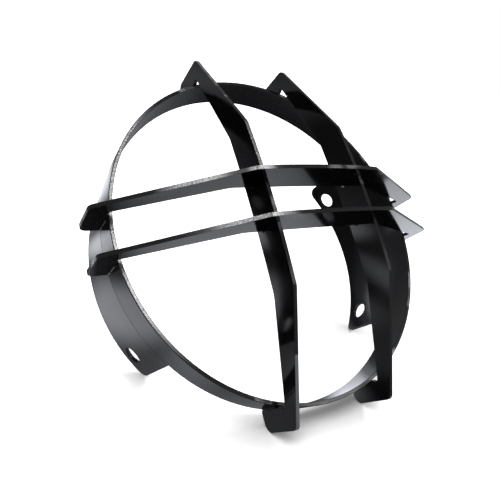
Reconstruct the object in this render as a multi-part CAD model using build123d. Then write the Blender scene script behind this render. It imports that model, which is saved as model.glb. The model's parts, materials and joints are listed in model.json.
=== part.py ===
from build123d import *
import math
import os

# Headlight guard: a rolled steel ring with two mounting tabs behind it and a
# grid of four bent-fronted slats standing on edge before it.
# Ring axis along Y, front towards -Y, +Z up, origin at the ring's centre in the
# plane of its front edge. Millimetres and degrees.

# Sheet that every piece is cut from
sheet = 2.0

# Ring band, rolled from one strip
ring_outer_d = 190.0
band_width = 17.5

# Mounting tabs, curved like the ring and butted against its rear edge.
# Their edges lie at these angles above and below the horizontal. Each one's
# rear edge leans in towards the lamp, turned about its lower corner.
tab_length = 36.5
tab_top_angle = 30.0
tab_bottom_angle = 39.0
tab_lean = 1.6
tab_top_corner_r = 6.0
tab_bottom_corner_r = 4.5

# Bolt holes near a tab's rear corners: angles above and below the horizontal,
# distances in from the rear edge
bolt_hole_d = 10.0
upper_hole_angle = 22.8
upper_hole_inset = 8.0
lower_hole_angle = 31.0
lower_hole_inset = 9.5

# Hooked lobes at both ends of every slat, seated on the ring's outside
lobe_height = 10.7
lobe_lead = 7.8
lobe_front_r = 3.5
lobe_rear_r = 5.0
notch_gap = 3.7
relief_r = 1.9

# Rounding of a slat's bends, at its front edge and at its back edge
front_bend_r = 8.0
back_bend_r = 14.0

# Upright slats: depths forward of the ring's front edge, bends above and
# below the centre
upright_offset = 30.0
upright_depth = 37.5
upright_width = 17.0
upright_front_camber = 2.0
upright_back_camber = 1.2
upright_front_bend = 41.9
upright_back_bend = 41.9

# Cross slats: the same, with bends left and right of the centre. They stand
# further forward than the uprights.
cross_offset = 11.5
cross_lead = 8.0
cross_width = 19.0
cross_front_camber = 1.6
cross_back_camber = 0.8
cross_front_bend = 37.3
cross_back_bend = 42.6

# Slots in the uprights for the cross slats, each with a round relief at its floor
slot_clearance = 0.1
slot_relief_r = 1.3

# How far a cutting shape runs past the sheet on both sides
cut_past = 10.0

# Worked out from the sizes above
ring_outer_r = ring_outer_d / 2
ring_inner_r = ring_outer_r - sheet
tab_rear = band_width + tab_length
cross_depth = upright_depth + cross_lead


def save(solid, name):
    """Write one piece to its own file."""
    os.makedirs("parts", exist_ok=True)
    solid.label = name
    export_step(solid, f"parts/{name}.step")


def wall_point(angle, radius, along):
    """Point on the rolled wall: angle up from +X, radius, distance behind the front edge."""
    turn = math.radians(angle)
    return Vector(radius * math.cos(turn), along, radius * math.sin(turn))


def axis_plane(along):
    """Plane across the ring's axis, with its x to the right and its y up."""
    return Plane(origin=(0, along, 0), x_dir=(1, 0, 0), z_dir=(0, -1, 0))


def make_ring_band():
    section = Circle(ring_outer_r) - Circle(ring_inner_r)
    return axis_plane(band_width) * extrude(section, band_width)


def tab_section(along, lean):
    """Cut across the right tab's wall, turned in about its lower outer corner."""
    sweep = tab_bottom_angle + tab_top_angle
    inner = CenterArc((0, 0), ring_inner_r, -tab_bottom_angle, sweep)
    outer = CenterArc((0, 0), ring_outer_r, -tab_bottom_angle, sweep)
    sides = [Line(inner @ end, outer @ end) for end in (0, 1)]
    face = axis_plane(along) * make_face([inner, outer, *sides])
    hinge = Axis(wall_point(-tab_bottom_angle, ring_outer_r, along), (0, 1, 0))
    return face.rotate(hinge, -lean)


def rear_corners(tab):
    """Edges across the end of a tab's wall, from the lowest to the highest."""
    return tab.faces().sort_by(Axis.Y)[-1].edges().sort_by(Axis.Z)


def wall_plane(tab, angle, inset):
    """Plane beside a tab's outside at an angle and a distance from the rear edge, square to it."""
    spot = wall_point(angle, ring_outer_r, tab_rear - inset)
    outside = tab.faces().sort_by_distance(spot)[0]
    return Plane(origin=spot, z_dir=outside.normal_at(spot))


def make_right_tab():
    tab = loft([tab_section(band_width, 0), tab_section(tab_rear, tab_lean)], ruled=True)
    tab = fillet(rear_corners(tab)[-1], tab_top_corner_r)
    tab = fillet(rear_corners(tab)[0], tab_bottom_corner_r)
    planes = [
        wall_plane(tab, upper_hole_angle, upper_hole_inset),
        wall_plane(tab, -lower_hole_angle, lower_hole_inset),
    ]
    hole = extrude(Circle(bolt_hole_d / 2), cut_past, both=True)
    for plane in planes:
        tab -= plane * hole
    return tab


def seat_height(offset):
    """Height of the ring's outside where a slat's inner face meets it."""
    return math.sqrt(ring_outer_r**2 - (offset - sheet / 2) ** 2)


def mirrored(point):
    return (-point[0], point[1])


def slat_face(offset, depth, width, front_camber, back_camber, front_bend, back_bend):
    """Outline of a slat in its own plane, as (along, depth) with the front negative."""
    seat = seat_height(offset)
    tip = seat + lobe_height
    back = depth - width
    front_corner = (tip, -lobe_lead)
    front_knee = (front_bend, -(depth - front_camber))
    back_knee = (back_bend, -(back - back_camber))
    notch_corner = (seat, -notch_gap)
    lobe_foot = (seat, band_width)
    lobe_heel = (tip, band_width)
    outline = [
        ThreePointArc(mirrored(front_knee), (0, -depth), front_knee),
        Polyline(front_knee, front_corner, lobe_heel, lobe_foot, notch_corner, back_knee),
        ThreePointArc(back_knee, (0, -back), mirrored(back_knee)),
        Polyline(*[mirrored(p) for p in (back_knee, notch_corner, lobe_foot, lobe_heel, front_corner, front_knee)]),
    ]
    face = make_face(outline)
    for corner, radius in (
        (front_corner, lobe_front_r),
        (lobe_heel, lobe_rear_r),
        (front_knee, front_bend_r),
        (back_knee, back_bend_r),
    ):
        for point in (corner, mirrored(corner)):
            face = fillet(face.vertices().sort_by_distance(point)[0], radius)
    relief = Circle(relief_r)
    for side in (-1, 1):
        face -= Pos(side * (seat - sheet / 2), -relief_r) * relief
    return face


def upright_face():
    return slat_face(
        upright_offset, upright_depth, upright_width, upright_front_camber,
        upright_back_camber, upright_front_bend, upright_back_bend,
    )


def cross_face():
    return slat_face(
        cross_offset, cross_depth, cross_width, cross_front_camber,
        cross_back_camber, cross_front_bend, cross_back_bend,
    )


def make_cross_slat(height):
    return Pos(0, 0, height) * extrude(cross_face(), sheet / 2, both=True)


def make_upright_slat(place, cross_slats):
    """Upright plate at x = place, slotted from the front for the cross slats."""
    frame = Plane(origin=(place, 0, 0), x_dir=(0, 0, 1), z_dir=(-1, 0, 0))
    slat = frame * extrude(upright_face(), sheet / 2, both=True)
    for cross in cross_slats:
        slat -= slot_cut(place, cross)
    return slat


def slot_cut(place, height):
    """Slot open to the front, as deep as the cross slat's back edge, with its relief."""
    half = sheet / 2 + slot_clearance
    floor = -cross_back_at(abs(place))
    front = -(upright_depth + cut_past)
    slot = Pos((front + floor) / 2, 0) * Rectangle(floor - front, 2 * half)
    relief_back = math.sqrt(slot_relief_r**2 - half**2)
    slot += Pos(floor + relief_back, 0) * Circle(slot_relief_r)
    frame = Plane(origin=(place, 0, height), x_dir=(0, 1, 0), z_dir=(1, 0, 0))
    return frame * extrude(slot, cut_past, both=True)


def cross_back_at(distance):
    """Depth of a cross slat's back edge at a distance from its centre."""
    back = cross_depth - cross_width
    return back - back_sag(distance)


def back_sag(distance):
    """How far the cambered back edge has fallen away at a distance from its centre."""
    radius = (cross_back_bend**2 + cross_back_camber**2) / (2 * cross_back_camber)
    return radius - math.sqrt(radius**2 - distance**2)


right_tab = make_right_tab()
cross_heights = (cross_offset, -cross_offset)

save(make_ring_band(), "ring_band")
save(right_tab, "right_mount_tab")
save(mirror(right_tab, about=Plane.YZ), "left_mount_tab")
save(make_cross_slat(cross_offset), "upper_cross_slat")
save(make_cross_slat(-cross_offset), "lower_cross_slat")
save(make_upright_slat(-upright_offset, cross_heights), "left_upright_slat")
save(make_upright_slat(upright_offset, cross_heights), "right_upright_slat")
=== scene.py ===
import json
import math

import bmesh
import bpy
from mathutils import Matrix, Vector

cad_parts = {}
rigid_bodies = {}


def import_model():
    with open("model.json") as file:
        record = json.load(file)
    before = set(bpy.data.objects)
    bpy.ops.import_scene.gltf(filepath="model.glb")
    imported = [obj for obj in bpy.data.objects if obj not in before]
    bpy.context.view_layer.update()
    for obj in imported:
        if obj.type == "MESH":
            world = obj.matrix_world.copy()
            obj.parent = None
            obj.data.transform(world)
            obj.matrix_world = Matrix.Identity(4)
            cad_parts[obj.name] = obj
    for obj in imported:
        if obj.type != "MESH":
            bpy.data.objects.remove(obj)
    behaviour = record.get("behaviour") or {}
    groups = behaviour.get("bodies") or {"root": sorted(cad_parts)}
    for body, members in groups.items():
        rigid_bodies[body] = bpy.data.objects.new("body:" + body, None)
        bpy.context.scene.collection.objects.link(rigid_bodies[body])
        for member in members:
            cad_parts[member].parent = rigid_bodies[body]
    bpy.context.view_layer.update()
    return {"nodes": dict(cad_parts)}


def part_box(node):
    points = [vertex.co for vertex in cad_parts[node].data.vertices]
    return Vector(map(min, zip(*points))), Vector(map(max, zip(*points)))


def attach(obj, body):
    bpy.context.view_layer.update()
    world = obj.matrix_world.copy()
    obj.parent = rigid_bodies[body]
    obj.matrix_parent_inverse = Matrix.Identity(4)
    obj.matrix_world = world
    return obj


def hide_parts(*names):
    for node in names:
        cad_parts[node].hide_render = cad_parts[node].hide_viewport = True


for leftover in list(bpy.data.objects):
    bpy.data.objects.remove(leftover)

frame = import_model()
print("frame loaded")


# Short forms for building node trees
def addNode(tree, kind, **settings):
    node = tree.nodes.new(kind)
    for name, value in settings.items():
        setattr(node, name, value)
    return node


def join(tree, fromNode, output, toNode, socket):
    tree.links.new(fromNode.outputs[output], toNode.inputs[socket])


def groupSocket(tree, name, kind, side, value=None):
    socket = tree.interface.new_socket(name=name, in_out=side, socket_type=kind)
    if value is not None:
        socket.default_value = value


def placeObject(name, data):
    thing = bpy.data.objects.new(name, data)
    bpy.context.scene.collection.objects.link(thing)
    return thing


# Gloss black spray paint: a slow drift of tone, fine orange peel and a few dust nibs.
skinLook = {
    "driftDetail": 4,
    "driftFrom": 0.35,
    "driftTo": 0.65,
    "peelDetail": 2,
    "nibScale": 160,
    "nibSmoothness": 0.3,
    "nibEdge": 0.1,
    "nibTop": 0.03,
}


def buildPaintSkin():
    tree = bpy.data.node_groups.new("paintSkin", "ShaderNodeTree")
    groupSocket(tree, "Vector", "NodeSocketVector", "INPUT")
    groupSocket(tree, "Tone", "NodeSocketColor", "INPUT", (0.012, 0.012, 0.013, 1))
    groupSocket(tree, "Faded tone", "NodeSocketColor", "INPUT", (0.02, 0.02, 0.022, 1))
    groupSocket(tree, "Drift scale", "NodeSocketFloat", "INPUT", 30.0)
    groupSocket(tree, "Peel scale", "NodeSocketFloat", "INPUT", 900.0)
    groupSocket(tree, "Peel height", "NodeSocketFloat", "INPUT", 0.00002)
    groupSocket(tree, "Nib height", "NodeSocketFloat", "INPUT", 0.00005)
    groupSocket(tree, "Gloss low", "NodeSocketFloat", "INPUT", 0.12)
    groupSocket(tree, "Gloss high", "NodeSocketFloat", "INPUT", 0.22)
    groupSocket(tree, "Color", "NodeSocketColor", "OUTPUT")
    groupSocket(tree, "Roughness", "NodeSocketFloat", "OUTPUT")
    groupSocket(tree, "Normal", "NodeSocketVector", "OUTPUT")
    given = addNode(tree, "NodeGroupInput")
    result = addNode(tree, "NodeGroupOutput")

    drift = addNode(tree, "ShaderNodeTexNoise")
    drift.inputs["Detail"].default_value = skinLook["driftDetail"]
    join(tree, given, "Vector", drift, "Vector")
    join(tree, given, "Drift scale", drift, "Scale")
    driftRange = addNode(tree, "ShaderNodeMapRange")
    driftRange.inputs["From Min"].default_value = skinLook["driftFrom"]
    driftRange.inputs["From Max"].default_value = skinLook["driftTo"]
    join(tree, drift, "Fac", driftRange, "Value")
    tone = addNode(tree, "ShaderNodeMix", data_type="RGBA")
    join(tree, driftRange, "Result", tone, "Factor")
    join(tree, given, "Tone", tone, "A")
    join(tree, given, "Faded tone", tone, "B")
    join(tree, tone, "Result", result, "Color")

    gloss = addNode(tree, "ShaderNodeMapRange")
    join(tree, driftRange, "Result", gloss, "Value")
    join(tree, given, "Gloss low", gloss, "To Min")
    join(tree, given, "Gloss high", gloss, "To Max")
    join(tree, gloss, "Result", result, "Roughness")

    peel = addNode(tree, "ShaderNodeTexNoise")
    peel.inputs["Detail"].default_value = skinLook["peelDetail"]
    join(tree, given, "Vector", peel, "Vector")
    join(tree, given, "Peel scale", peel, "Scale")
    nibs = addNode(tree, "ShaderNodeTexVoronoi", feature="SMOOTH_F1")
    nibs.inputs["Scale"].default_value = skinLook["nibScale"]
    nibs.inputs["Smoothness"].default_value = skinLook["nibSmoothness"]
    join(tree, given, "Vector", nibs, "Vector")
    nibMask = addNode(tree, "ShaderNodeMapRange", interpolation_type="SMOOTHSTEP")
    nibMask.inputs["From Min"].default_value = skinLook["nibEdge"]
    nibMask.inputs["From Max"].default_value = skinLook["nibTop"]
    join(tree, nibs, "Distance", nibMask, "Value")
    nibSize = addNode(tree, "ShaderNodeMath", operation="MULTIPLY")
    join(tree, nibMask, "Result", nibSize, 0)
    join(tree, given, "Nib height", nibSize, 1)
    height = addNode(tree, "ShaderNodeMath", operation="MULTIPLY_ADD")
    join(tree, peel, "Fac", height, 0)
    join(tree, given, "Peel height", height, 1)
    join(tree, nibSize, "Value", height, 2)
    bump = addNode(tree, "ShaderNodeBump")
    bump.inputs["Distance"].default_value = 1
    join(tree, height, "Value", bump, "Height")
    join(tree, bump, "Normal", result, "Normal")
    return tree


# Marks of a cut edge under its paint: dross lumps with smooth runs between them.
cutLook = {
    "patchDetail": 2,
    "patchBlend": 0.1,
    "lumpDetail": 3,
    "lumpRoughness": 0.6,
    "smoothShare": 0.06,
}


def buildCutMarks():
    tree = bpy.data.node_groups.new("cutMarks", "ShaderNodeTree")
    groupSocket(tree, "Vector", "NodeSocketVector", "INPUT")
    groupSocket(tree, "Normal", "NodeSocketVector", "INPUT")
    groupSocket(tree, "Lump scale", "NodeSocketFloat", "INPUT", 420.0)
    groupSocket(tree, "Lump height", "NodeSocketFloat", "INPUT", 0.0003)
    groupSocket(tree, "Patch scale", "NodeSocketFloat", "INPUT", 35.0)
    groupSocket(tree, "Patch from", "NodeSocketFloat", "INPUT", 0.5)
    groupSocket(tree, "Worked", "NodeSocketFloat", "INPUT", 0.0)
    groupSocket(tree, "Normal", "NodeSocketVector", "OUTPUT")
    groupSocket(tree, "Rough and glint patches", "NodeSocketFloat", "OUTPUT")
    given = addNode(tree, "NodeGroupInput")
    result = addNode(tree, "NodeGroupOutput")

    patches = addNode(tree, "ShaderNodeTexNoise")
    patches.inputs["Detail"].default_value = cutLook["patchDetail"]
    join(tree, given, "Vector", patches, "Vector")
    join(tree, given, "Patch scale", patches, "Scale")
    patchEnd = addNode(tree, "ShaderNodeMath", operation="ADD")
    patchEnd.inputs[1].default_value = cutLook["patchBlend"]
    join(tree, given, "Patch from", patchEnd, 0)
    patchMask = addNode(tree, "ShaderNodeMapRange", interpolation_type="SMOOTHSTEP")
    join(tree, given, "Patch from", patchMask, "From Min")
    join(tree, patchEnd, "Value", patchMask, "From Max")
    join(tree, patches, "Fac", patchMask, "Value")
    # Random coarse patches plus the listed stretches of painted highlight
    roughAndGlint = addNode(tree, "ShaderNodeMath", operation="ADD", use_clamp=True)
    join(tree, patchMask, "Result", roughAndGlint, 0)
    join(tree, given, "Worked", roughAndGlint, 1)
    join(tree, roughAndGlint, "Value", result, "Rough and glint patches")

    lumps = addNode(tree, "ShaderNodeTexNoise")
    lumps.inputs["Detail"].default_value = cutLook["lumpDetail"]
    lumps.inputs["Roughness"].default_value = cutLook["lumpRoughness"]
    join(tree, given, "Vector", lumps, "Vector")
    join(tree, given, "Lump scale", lumps, "Scale")
    share = addNode(tree, "ShaderNodeMapRange")
    share.inputs["To Min"].default_value = cutLook["smoothShare"]
    join(tree, roughAndGlint, "Value", share, "Value")
    shaped = addNode(tree, "ShaderNodeMath", operation="MULTIPLY")
    join(tree, lumps, "Fac", shaped, 0)
    join(tree, share, "Result", shaped, 1)
    height = addNode(tree, "ShaderNodeMath", operation="MULTIPLY")
    join(tree, shaped, "Value", height, 0)
    join(tree, given, "Lump height", height, 1)
    bump = addNode(tree, "ShaderNodeBump")
    bump.inputs["Distance"].default_value = 1
    join(tree, height, "Value", bump, "Height")
    join(tree, given, "Normal", bump, "Normal")
    join(tree, bump, "Normal", result, "Normal")
    return tree


# One soft-edged ellipsoid: 1 in its middle, falling to 0 at its border.
def buildSoftPool():
    tree = bpy.data.node_groups.new("softPool", "ShaderNodeTree")
    groupSocket(tree, "Vector", "NodeSocketVector", "INPUT")
    groupSocket(tree, "Centre", "NodeSocketVector", "INPUT")
    groupSocket(tree, "Turn", "NodeSocketVector", "INPUT")
    groupSocket(tree, "Radii", "NodeSocketVector", "INPUT", (1, 1, 1))
    groupSocket(tree, "Core", "NodeSocketFloat", "INPUT", 0.3)
    groupSocket(tree, "Value", "NodeSocketFloat", "OUTPUT")
    given = addNode(tree, "NodeGroupInput")
    result = addNode(tree, "NodeGroupOutput")
    place = addNode(tree, "ShaderNodeMapping", vector_type="TEXTURE")
    join(tree, given, "Vector", place, "Vector")
    join(tree, given, "Centre", place, "Location")
    join(tree, given, "Turn", place, "Rotation")
    join(tree, given, "Radii", place, "Scale")
    distance = addNode(tree, "ShaderNodeVectorMath", operation="LENGTH")
    join(tree, place, "Vector", distance, 0)
    fall = addNode(tree, "ShaderNodeMapRange", interpolation_type="SMOOTHSTEP")
    join(tree, distance, "Value", fall, "Value")
    join(tree, given, "Core", fall, "From Min")
    fall.inputs["From Max"].default_value = 1
    fall.inputs["To Min"].default_value = 1
    fall.inputs["To Max"].default_value = 0
    join(tree, fall, "Result", result, "Value")
    return tree


paintSkin = buildPaintSkin()
cutMarks = buildCutMarks()
softPool = buildSoftPool()


# Adds every pool's rise to the starting value.
def addPools(tree, place, pools, start):
    total = start
    for pool in pools:
        spot = addNode(tree, "ShaderNodeGroup", node_tree=softPool)
        join(tree, place, "Object", spot, "Vector")
        spot.inputs["Centre"].default_value = pool["centre"]
        spot.inputs["Radii"].default_value = pool["radii"]
        spot.inputs["Turn"].default_value = (0, 0, math.radians(pool.get("turn", 0)))
        summed = addNode(tree, "ShaderNodeMath", operation="MULTIPLY_ADD")
        join(tree, spot, "Value", summed, 0)
        summed.inputs[1].default_value = pool["rise"]
        if isinstance(total, float):
            summed.inputs[2].default_value = total
        else:
            tree.links.new(total, summed.inputs[2])
        total = summed.outputs["Value"]
    return total


def paintBase(name):
    material = bpy.data.materials.new(name)
    material.use_nodes = True
    tree = material.node_tree
    tree.nodes.clear()
    output = addNode(tree, "ShaderNodeOutputMaterial")
    shader = addNode(tree, "ShaderNodeBsdfPrincipled")
    join(tree, shader, "BSDF", output, "Surface")
    place = addNode(tree, "ShaderNodeTexCoord")
    skin = addNode(tree, "ShaderNodeGroup", node_tree=paintSkin)
    join(tree, place, "Object", skin, "Vector")
    join(tree, skin, "Color", shader, "Base Color")
    join(tree, skin, "Roughness", shader, "Roughness")
    return material, tree, shader, place, skin


# Paint on the rolled and flat faces of the sheet
sheetPaintLook = {
    "tone": (0.0014, 0.0014, 0.0017, 1),
    "fadedTone": (0.0028, 0.0028, 0.0034, 1),
    "glossLow": 0.07,
    "glossHigh": 0.13,
    "peelHeight": 0.000004,
    "nibHeight": 0.00001,
}


def makeSheetPaint():
    material, tree, shader, place, skin = paintBase("sheetPaint")
    look = sheetPaintLook
    skin.inputs["Tone"].default_value = look["tone"]
    skin.inputs["Faded tone"].default_value = look["fadedTone"]
    skin.inputs["Gloss low"].default_value = look["glossLow"]
    skin.inputs["Gloss high"].default_value = look["glossHigh"]
    skin.inputs["Peel height"].default_value = look["peelHeight"]
    skin.inputs["Nib height"].default_value = look["nibHeight"]
    join(tree, skin, "Normal", shader, "Normal")
    return material


# Paint over the cut edges, thin and lumpy where the cut was coarse, with metal showing in random
# patches.
# Along listed stretches the metal is brighter still, a painted highlight standing for glints: the
# ring's left and bottom front edge, the cross slats' left limbs.
edgePaintLook = {
    "tone": (0.002, 0.002, 0.0023, 1),
    "fadedTone": (0.005, 0.005, 0.0055, 1),
    "glossLow": 0.12,
    "glossHigh": 0.2,
    "roughGloss": 0.14,
    "bareMetalAndGlint": (0.4, 0.4, 0.41, 1),
    "lumpHeight": 0.00018,
    "lumpScale": 900,
    "patchScale": 42,
    "patchFrom": 0.56,
    # Painted highlight: the edge paint turns to bright metal along these stretches to paint on the
    # glints
    "glintStretches": (
        {"centre": (-0.085, 0.0, 0.01), "radii": (0.05, 0.006, 0.083), "rise": 1.6},
        {"centre": (-0.063, -0.03, 0.0115), "radii": (0.02, 0.02, 0.008), "rise": 1.0},
        {"centre": (-0.044, -0.038, -0.0115), "radii": (0.024, 0.02, 0.008), "rise": 1.0},
        {"centre": (-0.035, -0.044, 0.0115), "radii": (0.009, 0.008, 0.006), "rise": 0.9},
        {"centre": (0.015, 0.0, -0.094), "radii": (0.05, 0.006, 0.014), "rise": 0.4},
    ),
}


def makeEdgePaint():
    material, tree, shader, place, skin = paintBase("edgePaint")
    look = edgePaintLook
    skin.inputs["Tone"].default_value = look["tone"]
    skin.inputs["Faded tone"].default_value = look["fadedTone"]
    skin.inputs["Gloss low"].default_value = look["glossLow"]
    skin.inputs["Gloss high"].default_value = look["glossHigh"]
    marks = addNode(tree, "ShaderNodeGroup", node_tree=cutMarks)
    marks.inputs["Lump height"].default_value = look["lumpHeight"]
    marks.inputs["Lump scale"].default_value = look["lumpScale"]
    marks.inputs["Patch scale"].default_value = look["patchScale"]
    marks.inputs["Patch from"].default_value = look["patchFrom"]
    # The glint stretches are added to the random patches, so the metal there is a painted highlight
    tree.links.new(addPools(tree, place, look["glintStretches"], 0.0), marks.inputs["Worked"])
    join(tree, place, "Object", marks, "Vector")
    join(tree, skin, "Normal", marks, "Normal")
    join(tree, marks, "Normal", shader, "Normal")
    # Metal on the patches: worn-through paint in the random patches, painted highlight along the glint
    # stretches
    join(tree, marks, "Rough and glint patches", shader, "Metallic")
    bareAndGlint = addNode(tree, "ShaderNodeMix", data_type="RGBA")
    join(tree, marks, "Rough and glint patches", bareAndGlint, "Factor")
    join(tree, skin, "Color", bareAndGlint, "A")
    bareAndGlint.inputs["B"].default_value = look["bareMetalAndGlint"]
    join(tree, bareAndGlint, "Result", shader, "Base Color")
    gloss = addNode(tree, "ShaderNodeMix", data_type="FLOAT")
    join(tree, marks, "Rough and glint patches", gloss, "Factor")
    join(tree, skin, "Roughness", gloss, "A")
    gloss.inputs["B"].default_value = look["roughGloss"]
    join(tree, gloss, "Result", shader, "Roughness")
    return material


sheetPaint = makeSheetPaint()
edgePaint = makeEdgePaint()
print("paints ready")


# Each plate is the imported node's own shape with its corners eased under the paint. Its entry
# gives its name in the scene and the way its sheet is thick: an axis, or out from the ring's axis.
plateLook = {
    "cornerEase": 0.0005,
    "seamEase": 0.6,
    "easeSteps": 3,
    "flatWithin": math.radians(0.05),
    "easeFrom": math.radians(35),
    "edgeFaceBelow": 0.6,
    "mergeWithin": 0.000002,
    "seamWithin": 0.00001,
    "plates": {
        "ring_band": ("ringBand", "ring"),
        "left_mount_tab": ("leftTab", "ring"),
        "right_mount_tab": ("rightTab", "ring"),
        "left_upright_slat": ("leftUpright", "x"),
        "right_upright_slat": ("rightUpright", "x"),
        "upper_cross_slat": ("upperCross", "z"),
        "lower_cross_slat": ("lowerCross", "z"),
    },
}


def thicknessWay(kind, point):
    if kind == "x":
        return Vector((1, 0, 0))
    if kind == "z":
        return Vector((0, 0, 1))
    return Vector((point.x, 0, point.z)).normalized()


def dressPlate(nodeName, paintedName, kind):
    mesh = frame["nodes"][nodeName].data.copy()
    mesh.materials.clear()
    mesh.materials.append(sheetPaint)
    mesh.materials.append(edgePaint)
    if "custom_normal" in mesh.attributes:
        mesh.attributes.remove(mesh.attributes["custom_normal"])
    work = bmesh.new()
    work.from_mesh(mesh)
    bmesh.ops.remove_doubles(work, verts=work.verts, dist=plateLook["mergeWithin"])
    flat = plateLook["flatWithin"]
    bmesh.ops.dissolve_limit(work, angle_limit=flat, verts=work.verts, edges=work.edges)
    work.normal_update()
    for face in work.faces:
        across = face.normal.dot(thicknessWay(kind, face.calc_center_median()))
        face.material_index = 1 if abs(across) < plateLook["edgeFaceBelow"] else 0
        face.smooth = True
    weights = work.edges.layers.float.new("bevel_weight_edge")
    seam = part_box("ring_band")[1].y
    for edge in work.edges:
        edge.smooth = True
        if len(edge.link_faces) == 2 and edge.calc_face_angle() > plateLook["easeFrom"]:
            near = all(abs(vert.co.y - seam) < plateLook["seamWithin"] for vert in edge.verts)
            edge[weights] = plateLook["seamEase"] if kind == "ring" and near else 1
    work.to_mesh(mesh)
    work.free()
    plate = placeObject(paintedName, mesh)
    ease = plate.modifiers.new("easedCorners", "BEVEL")
    ease.width = plateLook["cornerEase"]
    ease.segments = plateLook["easeSteps"]
    ease.limit_method = "WEIGHT"
    ease.use_clamp_overlap = True
    ease.harden_normals = True
    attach(plate, "root")
    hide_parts(nodeName)


for nodeName, (paintedName, kind) in plateLook["plates"].items():
    dressPlate(nodeName, paintedName, kind)
print("plates dressed")


# Weld beads where the slats' hooked ends sit on the ring, one along each side of each end:
# thin along the seat, with a tack at the rear
beadLook = {
    "radius": 0.00085,
    "thinShare": 0.5,
    "tackFrom": 0.62,
    "ripplePitch": 0.0016,
    "rippleDepth": 0.25,
    "wander": 0.0003,
    "frontGap": 0.0045,
    "rearGap": 0.0012,
    "stepLength": 0.0002,
    "wanderScale": 300,
    "endRun": 0.09,
    "endSize": 0.35,
    "tackBlend": 0.12,
    "sides": 14,
    "seed": 7,
}


# Front and rear end of every bead, on both faces of each slat and at both of its ends
def beadRuns():
    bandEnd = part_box("ring_band")[1]
    front, rear = beadLook["frontGap"], bandEnd.y - beadLook["rearGap"]
    runs = []
    for nodeName in ("left_upright_slat", "right_upright_slat", "upper_cross_slat", "lower_cross_slat"):
        upright = nodeName.endswith("upright_slat")
        low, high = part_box(nodeName)
        for face in (low.x, high.x) if upright else (low.z, high.z):
            reach = math.sqrt(bandEnd.x**2 - face**2)
            for seat in (reach, -reach):
                x, z = (face, seat) if upright else (seat, face)
                runs.append((Vector((x, front, z)), Vector((x, rear, z))))
    return runs


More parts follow.
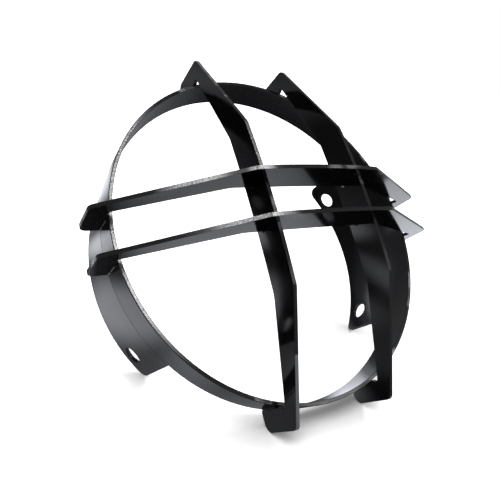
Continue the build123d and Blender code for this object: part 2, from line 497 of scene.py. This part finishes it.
def buildBeadTree():
    tree = bpy.data.node_groups.new("weldBead", "GeometryNodeTree")
    groupSocket(tree, "Runs", "NodeSocketGeometry", "INPUT")
    sizes = {
        "Bead radius": beadLook["radius"],
        "Thin share": beadLook["thinShare"],
        "Tack from": beadLook["tackFrom"],
        "Ripple pitch": beadLook["ripplePitch"],
        "Ripple depth": beadLook["rippleDepth"],
        "Wander": beadLook["wander"],
        "Step length": beadLook["stepLength"],
    }
    for name, value in sizes.items():
        groupSocket(tree, name, "NodeSocketFloat", "INPUT", value)
    groupSocket(tree, "Seed", "NodeSocketInt", "INPUT", beadLook["seed"])
    groupSocket(tree, "Paint", "NodeSocketMaterial", "INPUT")
    groupSocket(tree, "Beads", "NodeSocketGeometry", "OUTPUT")
    given = addNode(tree, "NodeGroupInput")
    result = addNode(tree, "NodeGroupOutput")

    curves = addNode(tree, "GeometryNodeMeshToCurve")
    join(tree, given, "Runs", curves, "Mesh")
    resample = addNode(tree, "GeometryNodeResampleCurve", mode="LENGTH")
    join(tree, curves, "Curve", resample, "Curve")
    join(tree, given, "Step length", resample, "Length")

    # small sideways drift of the torch
    position = addNode(tree, "GeometryNodeInputPosition")
    seeded = addNode(tree, "ShaderNodeVectorMath", operation="ADD")
    join(tree, position, "Position", seeded, 0)
    join(tree, given, "Seed", seeded, 1)
    driftNoise = addNode(tree, "ShaderNodeTexNoise")
    driftNoise.inputs["Scale"].default_value = beadLook["wanderScale"]
    join(tree, seeded, "Vector", driftNoise, "Vector")
    centred = addNode(tree, "ShaderNodeVectorMath", operation="SUBTRACT")
    centred.inputs[1].default_value = (0.5, 0.5, 0.5)
    join(tree, driftNoise, "Color", centred, 0)
    drift = addNode(tree, "ShaderNodeVectorMath", operation="SCALE")
    join(tree, centred, "Vector", drift, 0)
    join(tree, given, "Wander", drift, "Scale")
    moved = addNode(tree, "GeometryNodeSetPosition")
    join(tree, resample, "Curve", moved, "Geometry")
    join(tree, drift, "Vector", moved, "Offset")

    # scallops along the bead, and rounded ends
    along = addNode(tree, "GeometryNodeSplineParameter")
    beats = addNode(tree, "ShaderNodeMath", operation="DIVIDE")
    join(tree, along, "Length", beats, 0)
    join(tree, given, "Ripple pitch", beats, 1)
    tooth = addNode(tree, "ShaderNodeMath", operation="PINGPONG")
    tooth.inputs[1].default_value = 0.5
    join(tree, beats, "Value", tooth, 0)
    dip = addNode(tree, "ShaderNodeMath", operation="MULTIPLY")
    join(tree, tooth, "Value", dip, 0)
    join(tree, given, "Ripple depth", dip, 1)
    ridge = addNode(tree, "ShaderNodeMath", operation="SUBTRACT")
    ridge.inputs[0].default_value = 1
    join(tree, dip, "Value", ridge, 1)
    endCurve = addNode(tree, "ShaderNodeMath", operation="PINGPONG")
    endCurve.inputs[1].default_value = 0.5
    join(tree, along, "Factor", endCurve, 0)
    endRound = addNode(tree, "ShaderNodeMapRange", interpolation_type="SMOOTHSTEP")
    endRound.inputs["From Max"].default_value = beadLook["endRun"]
    endRound.inputs["To Min"].default_value = beadLook["endSize"]
    join(tree, endCurve, "Value", endRound, "Value")
    rounded = addNode(tree, "ShaderNodeMath", operation="MULTIPLY")
    join(tree, ridge, "Value", rounded, 0)
    join(tree, endRound, "Result", rounded, 1)
    tackFull = addNode(tree, "ShaderNodeMath", operation="ADD")
    tackFull.inputs[1].default_value = beadLook["tackBlend"]
    join(tree, given, "Tack from", tackFull, 0)
    swell = addNode(tree, "ShaderNodeMapRange", interpolation_type="SMOOTHSTEP")
    join(tree, along, "Factor", swell, "Value")
    join(tree, given, "Tack from", swell, "From Min")
    join(tree, tackFull, "Value", swell, "From Max")
    join(tree, given, "Thin share", swell, "To Min")
    size = addNode(tree, "ShaderNodeMath", operation="MULTIPLY")
    join(tree, rounded, "Value", size, 0)
    join(tree, swell, "Result", size, 1)

    profile = addNode(tree, "GeometryNodeCurvePrimitiveCircle")
    profile.inputs["Resolution"].default_value = beadLook["sides"]
    join(tree, given, "Bead radius", profile, "Radius")
    sweep = addNode(tree, "GeometryNodeCurveToMesh")
    sweep.inputs["Fill Caps"].default_value = True
    join(tree, moved, "Geometry", sweep, "Curve")
    join(tree, profile, "Curve", sweep, "Profile Curve")
    join(tree, size, "Value", sweep, "Scale")
    smooth = addNode(tree, "GeometryNodeSetShadeSmooth")
    join(tree, sweep, "Mesh", smooth, "Geometry")
    realize = addNode(tree, "GeometryNodeRealizeInstances")
    join(tree, smooth, "Geometry", realize, "Geometry")
    painted = addNode(tree, "GeometryNodeSetMaterial")
    join(tree, realize, "Geometry", painted, "Geometry")
    join(tree, given, "Paint", painted, "Material")
    join(tree, painted, "Geometry", result, "Beads")
    return tree


def makeBeads():
    runs = beadRuns()
    points = [end for run in runs for end in run]
    edges = [(2 * n, 2 * n + 1) for n in range(len(runs))]
    guide = bpy.data.meshes.new("beadRuns")
    guide.from_pydata([tuple(p) for p in points], edges, [])
    holder = placeObject("beadRuns", guide)
    tree = buildBeadTree()
    modifier = holder.modifiers.new("weldBead", "NODES")
    modifier.node_group = tree
    for socket in tree.interface.items_tree:
        if socket.in_out == "INPUT" and socket.name == "Paint":
            modifier[socket.identifier] = sheetPaint
    bpy.context.view_layer.update()
    depsgraph = bpy.context.evaluated_depsgraph_get()
    mesh = bpy.data.meshes.new_from_object(holder.evaluated_get(depsgraph))
    bpy.data.objects.remove(holder)
    mesh.name = "lobeWelds"
    beads = placeObject("lobeWelds", mesh)
    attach(beads, "root")


makeBeads()
print("weld beads laid")


# The guard rests on its two lower hooked ends and the tabs' lower rear corners, so in its
# own upright frame the table is a tilted plane through those corners.
tableLook = {
    "down": Vector((0, 0.74478, -0.66731)),
    "reach": 0.07848,
    "lowered": 0.0003,
    "size": 6.0,
}


def makeTable():
    down = tableLook["down"].normalized()
    half = tableLook["size"] / 2
    mesh = bpy.data.meshes.new("table")
    corners = [(-half, -half, 0), (half, -half, 0), (half, half, 0), (-half, half, 0)]
    mesh.from_pydata(corners, [], [(0, 1, 2, 3)])
    mesh.materials.append(makeTablePaint())
    table = placeObject("table", mesh)
    table.location = down * (tableLook["reach"] + tableLook["lowered"])
    table.rotation_euler = (math.atan2(down.y, -down.z), 0, 0)


# White paper. The camera sees it overexposed, so that only the close shadows show. The gloss
# paint mirrors it dim, with brighter pools of painted light and darker pools of painted shade, and a
# painted shade dims it further in a second mirroring.
# The pools' places are on the table, in metres to the right and away.
tablePaintLook = {
    "paper": (0.93, 0.93, 0.93, 1),
    "overexposed": 0.85,
    "shadedWithin": 0.03,
    "shadeFall": 1.8,
    "shadeSamples": 16,
    "firstMirroring": 1.5,
    "mirroredTwice": 0.1,
    "mirroredPaper": 0.25,
    "mirroredTint": (0.95, 0.975, 1.05, 1),
    "mirroredPools": (
        {"centre": (-0.03, 0.09, 0), "radii": (0.26, 0.075, 1), "rise": -0.17},
        {"centre": (-0.112, 0.022, 0), "radii": (0.029, 0.09, 1), "rise": 0.85},
        {"centre": (-0.135, 0.148, 0), "radii": (0.06, 0.045, 1), "rise": 1.35},
        {"centre": (-0.045, 0.325, 0), "radii": (0.095, 0.11, 1), "rise": 1.45},
        {"centre": (0.012, 0.012, 0), "radii": (0.11, 0.036, 1), "rise": 0.42},
        {"centre": (0.045, -0.035, 0), "radii": (0.045, 0.024, 1), "turn": 50, "rise": 1.45},
        {"centre": (0.205, 0.02, 0), "radii": (0.08, 0.1, 1), "rise": 1.35},
        {"centre": (-0.09, -0.045, 0), "radii": (0.04, 0.035, 1), "rise": 0.42},
        {"centre": (-0.075, 0.022, 0), "radii": (0.022, 0.035, 1), "rise": -0.18},
        {"centre": (0.004, -0.066, 0), "radii": (0.03, 0.024, 1), "rise": -0.22},
        {"centre": (0.1, -0.01, 0), "radii": (0.025, 0.03, 1), "rise": -0.2},
        {"centre": (-0.45, 0.5, 0), "radii": (0.15, 0.5, 1), "turn": 38, "rise": -0.2},
        {"centre": (-0.65, 1.2, 0), "radii": (0.4, 0.3, 1), "rise": 0.1},
    ),
}


def makeTablePaint():
    look = tablePaintLook
    material = bpy.data.materials.new("tablePaper")
    material.use_nodes = True
    tree = material.node_tree
    tree.nodes.clear()
    output = addNode(tree, "ShaderNodeOutputMaterial")
    place = addNode(tree, "ShaderNodeTexCoord")
    rays = addNode(tree, "ShaderNodeLightPath")
    paper = addNode(tree, "ShaderNodeBsdfDiffuse")
    paper.inputs["Color"].default_value = look["paper"]
    # Painted contact shadow: ambient occlusion fades the camera-only overexposure close to the guard,
    # so the paper darkens there
    openness = addNode(tree, "ShaderNodeAmbientOcclusion", samples=look["shadeSamples"])
    openness.inputs["Distance"].default_value = look["shadedWithin"]
    opened = addNode(tree, "ShaderNodeMath", operation="POWER")
    opened.inputs[1].default_value = look["shadeFall"]
    join(tree, openness, "AO", opened, 0)
    openLift = addNode(tree, "ShaderNodeMath", operation="MULTIPLY")
    openLift.inputs[1].default_value = look["overexposed"]
    join(tree, opened, "Value", openLift, 0)
    lift = addNode(tree, "ShaderNodeMath", operation="MULTIPLY")
    join(tree, rays, "Is Camera Ray", lift, 0)
    join(tree, openLift, "Value", lift, 1)
    overexposed = addNode(tree, "ShaderNodeEmission")
    join(tree, lift, "Value", overexposed, "Strength")
    lit = addNode(tree, "ShaderNodeAddShader")
    join(tree, paper, "BSDF", lit, 0)
    join(tree, overexposed, "Emission", lit, 1)
    mirrored = addNode(tree, "ShaderNodeEmission")
    mirrored.inputs["Color"].default_value = look["mirroredTint"]
    # Painted light and shade: the pools brighten and darken the paper only as the gloss paint mirrors
    # it
    glow = addPools(tree, place, look["mirroredPools"], look["mirroredPaper"])
    again = addNode(tree, "ShaderNodeMath", operation="GREATER_THAN")
    again.inputs[1].default_value = look["firstMirroring"]
    join(tree, rays, "Ray Depth", again, 0)
    dimmed = addNode(tree, "ShaderNodeMix", data_type="FLOAT")
    join(tree, again, "Value", dimmed, "Factor")
    tree.links.new(glow, dimmed.inputs["A"])
    dimmed.inputs["B"].default_value = look["mirroredTwice"]
    join(tree, dimmed, "Result", mirrored, "Strength")
    seen = addNode(tree, "ShaderNodeMixShader")
    join(tree, rays, "Is Glossy Ray", seen, "Fac")
    join(tree, lit, "Shader", seen, 1)
    join(tree, mirrored, "Emission", seen, 2)
    clear = addNode(tree, "ShaderNodeBsdfTransparent")
    facing = addNode(tree, "ShaderNodeNewGeometry")
    whole = addNode(tree, "ShaderNodeMixShader")
    join(tree, facing, "Backfacing", whole, "Fac")
    join(tree, seen, "Shader", whole, 1)
    join(tree, clear, "BSDF", whole, 2)
    join(tree, whole, "Shader", output, "Surface")
    return material


makeTable()
print("table set")


# Soft studio light: one wide lamp high in front on the left, one behind on the right, and
# weak light from all round. The strips only show in the gloss, as highlights on edges.
studioLook = {
    "ambient": 0.2,
    "mirroredRoom": 0.3,
    "lamps": {
        "frontLamp": {"toLamp": (-0.366, -0.816, 0.447), "power": 1.56},
        "backLamp": {"toLamp": (0.557, -0.356, 0.751), "power": 1.85},
    },
    "lampSpread": math.radians(30),
    "strips": {
        "leftStrip": {"place": (-0.36, -0.84, 0.4), "across": 0.24, "along": 0.3, "power": 0.45},
        "frontStrip": {"place": (0.3, -0.88, 0.3), "across": 0.34, "along": 0.44, "power": 1.1},
        "lowStrip": {"place": (0.62, -0.78, -0.05), "across": 0.3, "along": 0.2, "power": 0.32},
    },
}


def makeWorld():
    world = bpy.data.worlds.new("studio")
    bpy.context.scene.world = world
    world.use_nodes = True
    tree = world.node_tree
    tree.nodes.clear()
    output = addNode(tree, "ShaderNodeOutputWorld")
    backdrop = addNode(tree, "ShaderNodeBackground")
    backdrop.inputs["Strength"].default_value = 1
    soft = addNode(tree, "ShaderNodeBackground")
    soft.inputs["Strength"].default_value = studioLook["ambient"]
    sky = addNode(tree, "ShaderNodeBackground")
    sky.inputs["Strength"].default_value = studioLook["mirroredRoom"]
    rays = addNode(tree, "ShaderNodeLightPath")
    first = addNode(tree, "ShaderNodeMixShader")
    second = addNode(tree, "ShaderNodeMixShader")
    join(tree, rays, "Is Glossy Ray", first, "Fac")
    join(tree, soft, "Background", first, 1)
    join(tree, sky, "Background", first, 2)
    join(tree, rays, "Is Camera Ray", second, "Fac")
    join(tree, first, "Shader", second, 1)
    join(tree, backdrop, "Background", second, 2)
    join(tree, second, "Shader", output, "Surface")
    for node in (backdrop, soft, sky):
        node.inputs["Color"].default_value = (1, 1, 1, 1)


def placeLight(name, light, place):
    lamp = placeObject(name, light)
    lamp.location = place
    lamp.rotation_euler = Vector(place).to_track_quat("Z", "Y").to_euler()
    return lamp


def makeLamp(name, toLamp, power):
    light = bpy.data.lights.new(name, "SUN")
    light.angle = studioLook["lampSpread"]
    light.energy = power
    placeLight(name, light, toLamp).visible_glossy = False


def makeStrip(name, place, across, along, power):
    light = bpy.data.lights.new(name, "AREA")
    light.shape = "RECTANGLE"
    light.size = across
    light.size_y = along
    light.energy = power
    placeLight(name, light, place).visible_diffuse = False


makeWorld()
for name, settings in studioLook["lamps"].items():
    makeLamp(name, **settings)
for name, settings in studioLook["strips"].items():
    makeStrip(name, **settings)
print("lights placed")


# Camera at the photo's viewing angle, low to the left and close, looking up through the guard
cameraLook = {
    "place": (-0.15895, -0.19906, -0.07755),
    "right": (0.8627, -0.4441, -0.2421),
    "up": (0.0689, -0.3709, 0.9261),
    "back": (-0.5011, -0.8156, -0.2894),
    "lens": 34.55,
    "sensor": 36.0,
    "shiftX": 0.0473,
    "shiftY": -0.0161,
    "nearest": 0.01,
}


def makeCamera():
    camera = bpy.data.cameras.new("photoCamera")
    camera.lens = cameraLook["lens"]
    camera.sensor_width = cameraLook["sensor"]
    camera.shift_x = cameraLook["shiftX"]
    camera.shift_y = cameraLook["shiftY"]
    camera.clip_start = cameraLook["nearest"]
    viewer = placeObject("photoCamera", camera)
    turn = Matrix([cameraLook["right"], cameraLook["up"], cameraLook["back"]]).transposed()
    viewer.matrix_world = Matrix.Translation(cameraLook["place"]) @ turn.to_4x4()
    bpy.context.scene.camera = viewer


makeCamera()
bpy.context.scene.view_settings.view_transform = "Standard"
print("camera set")
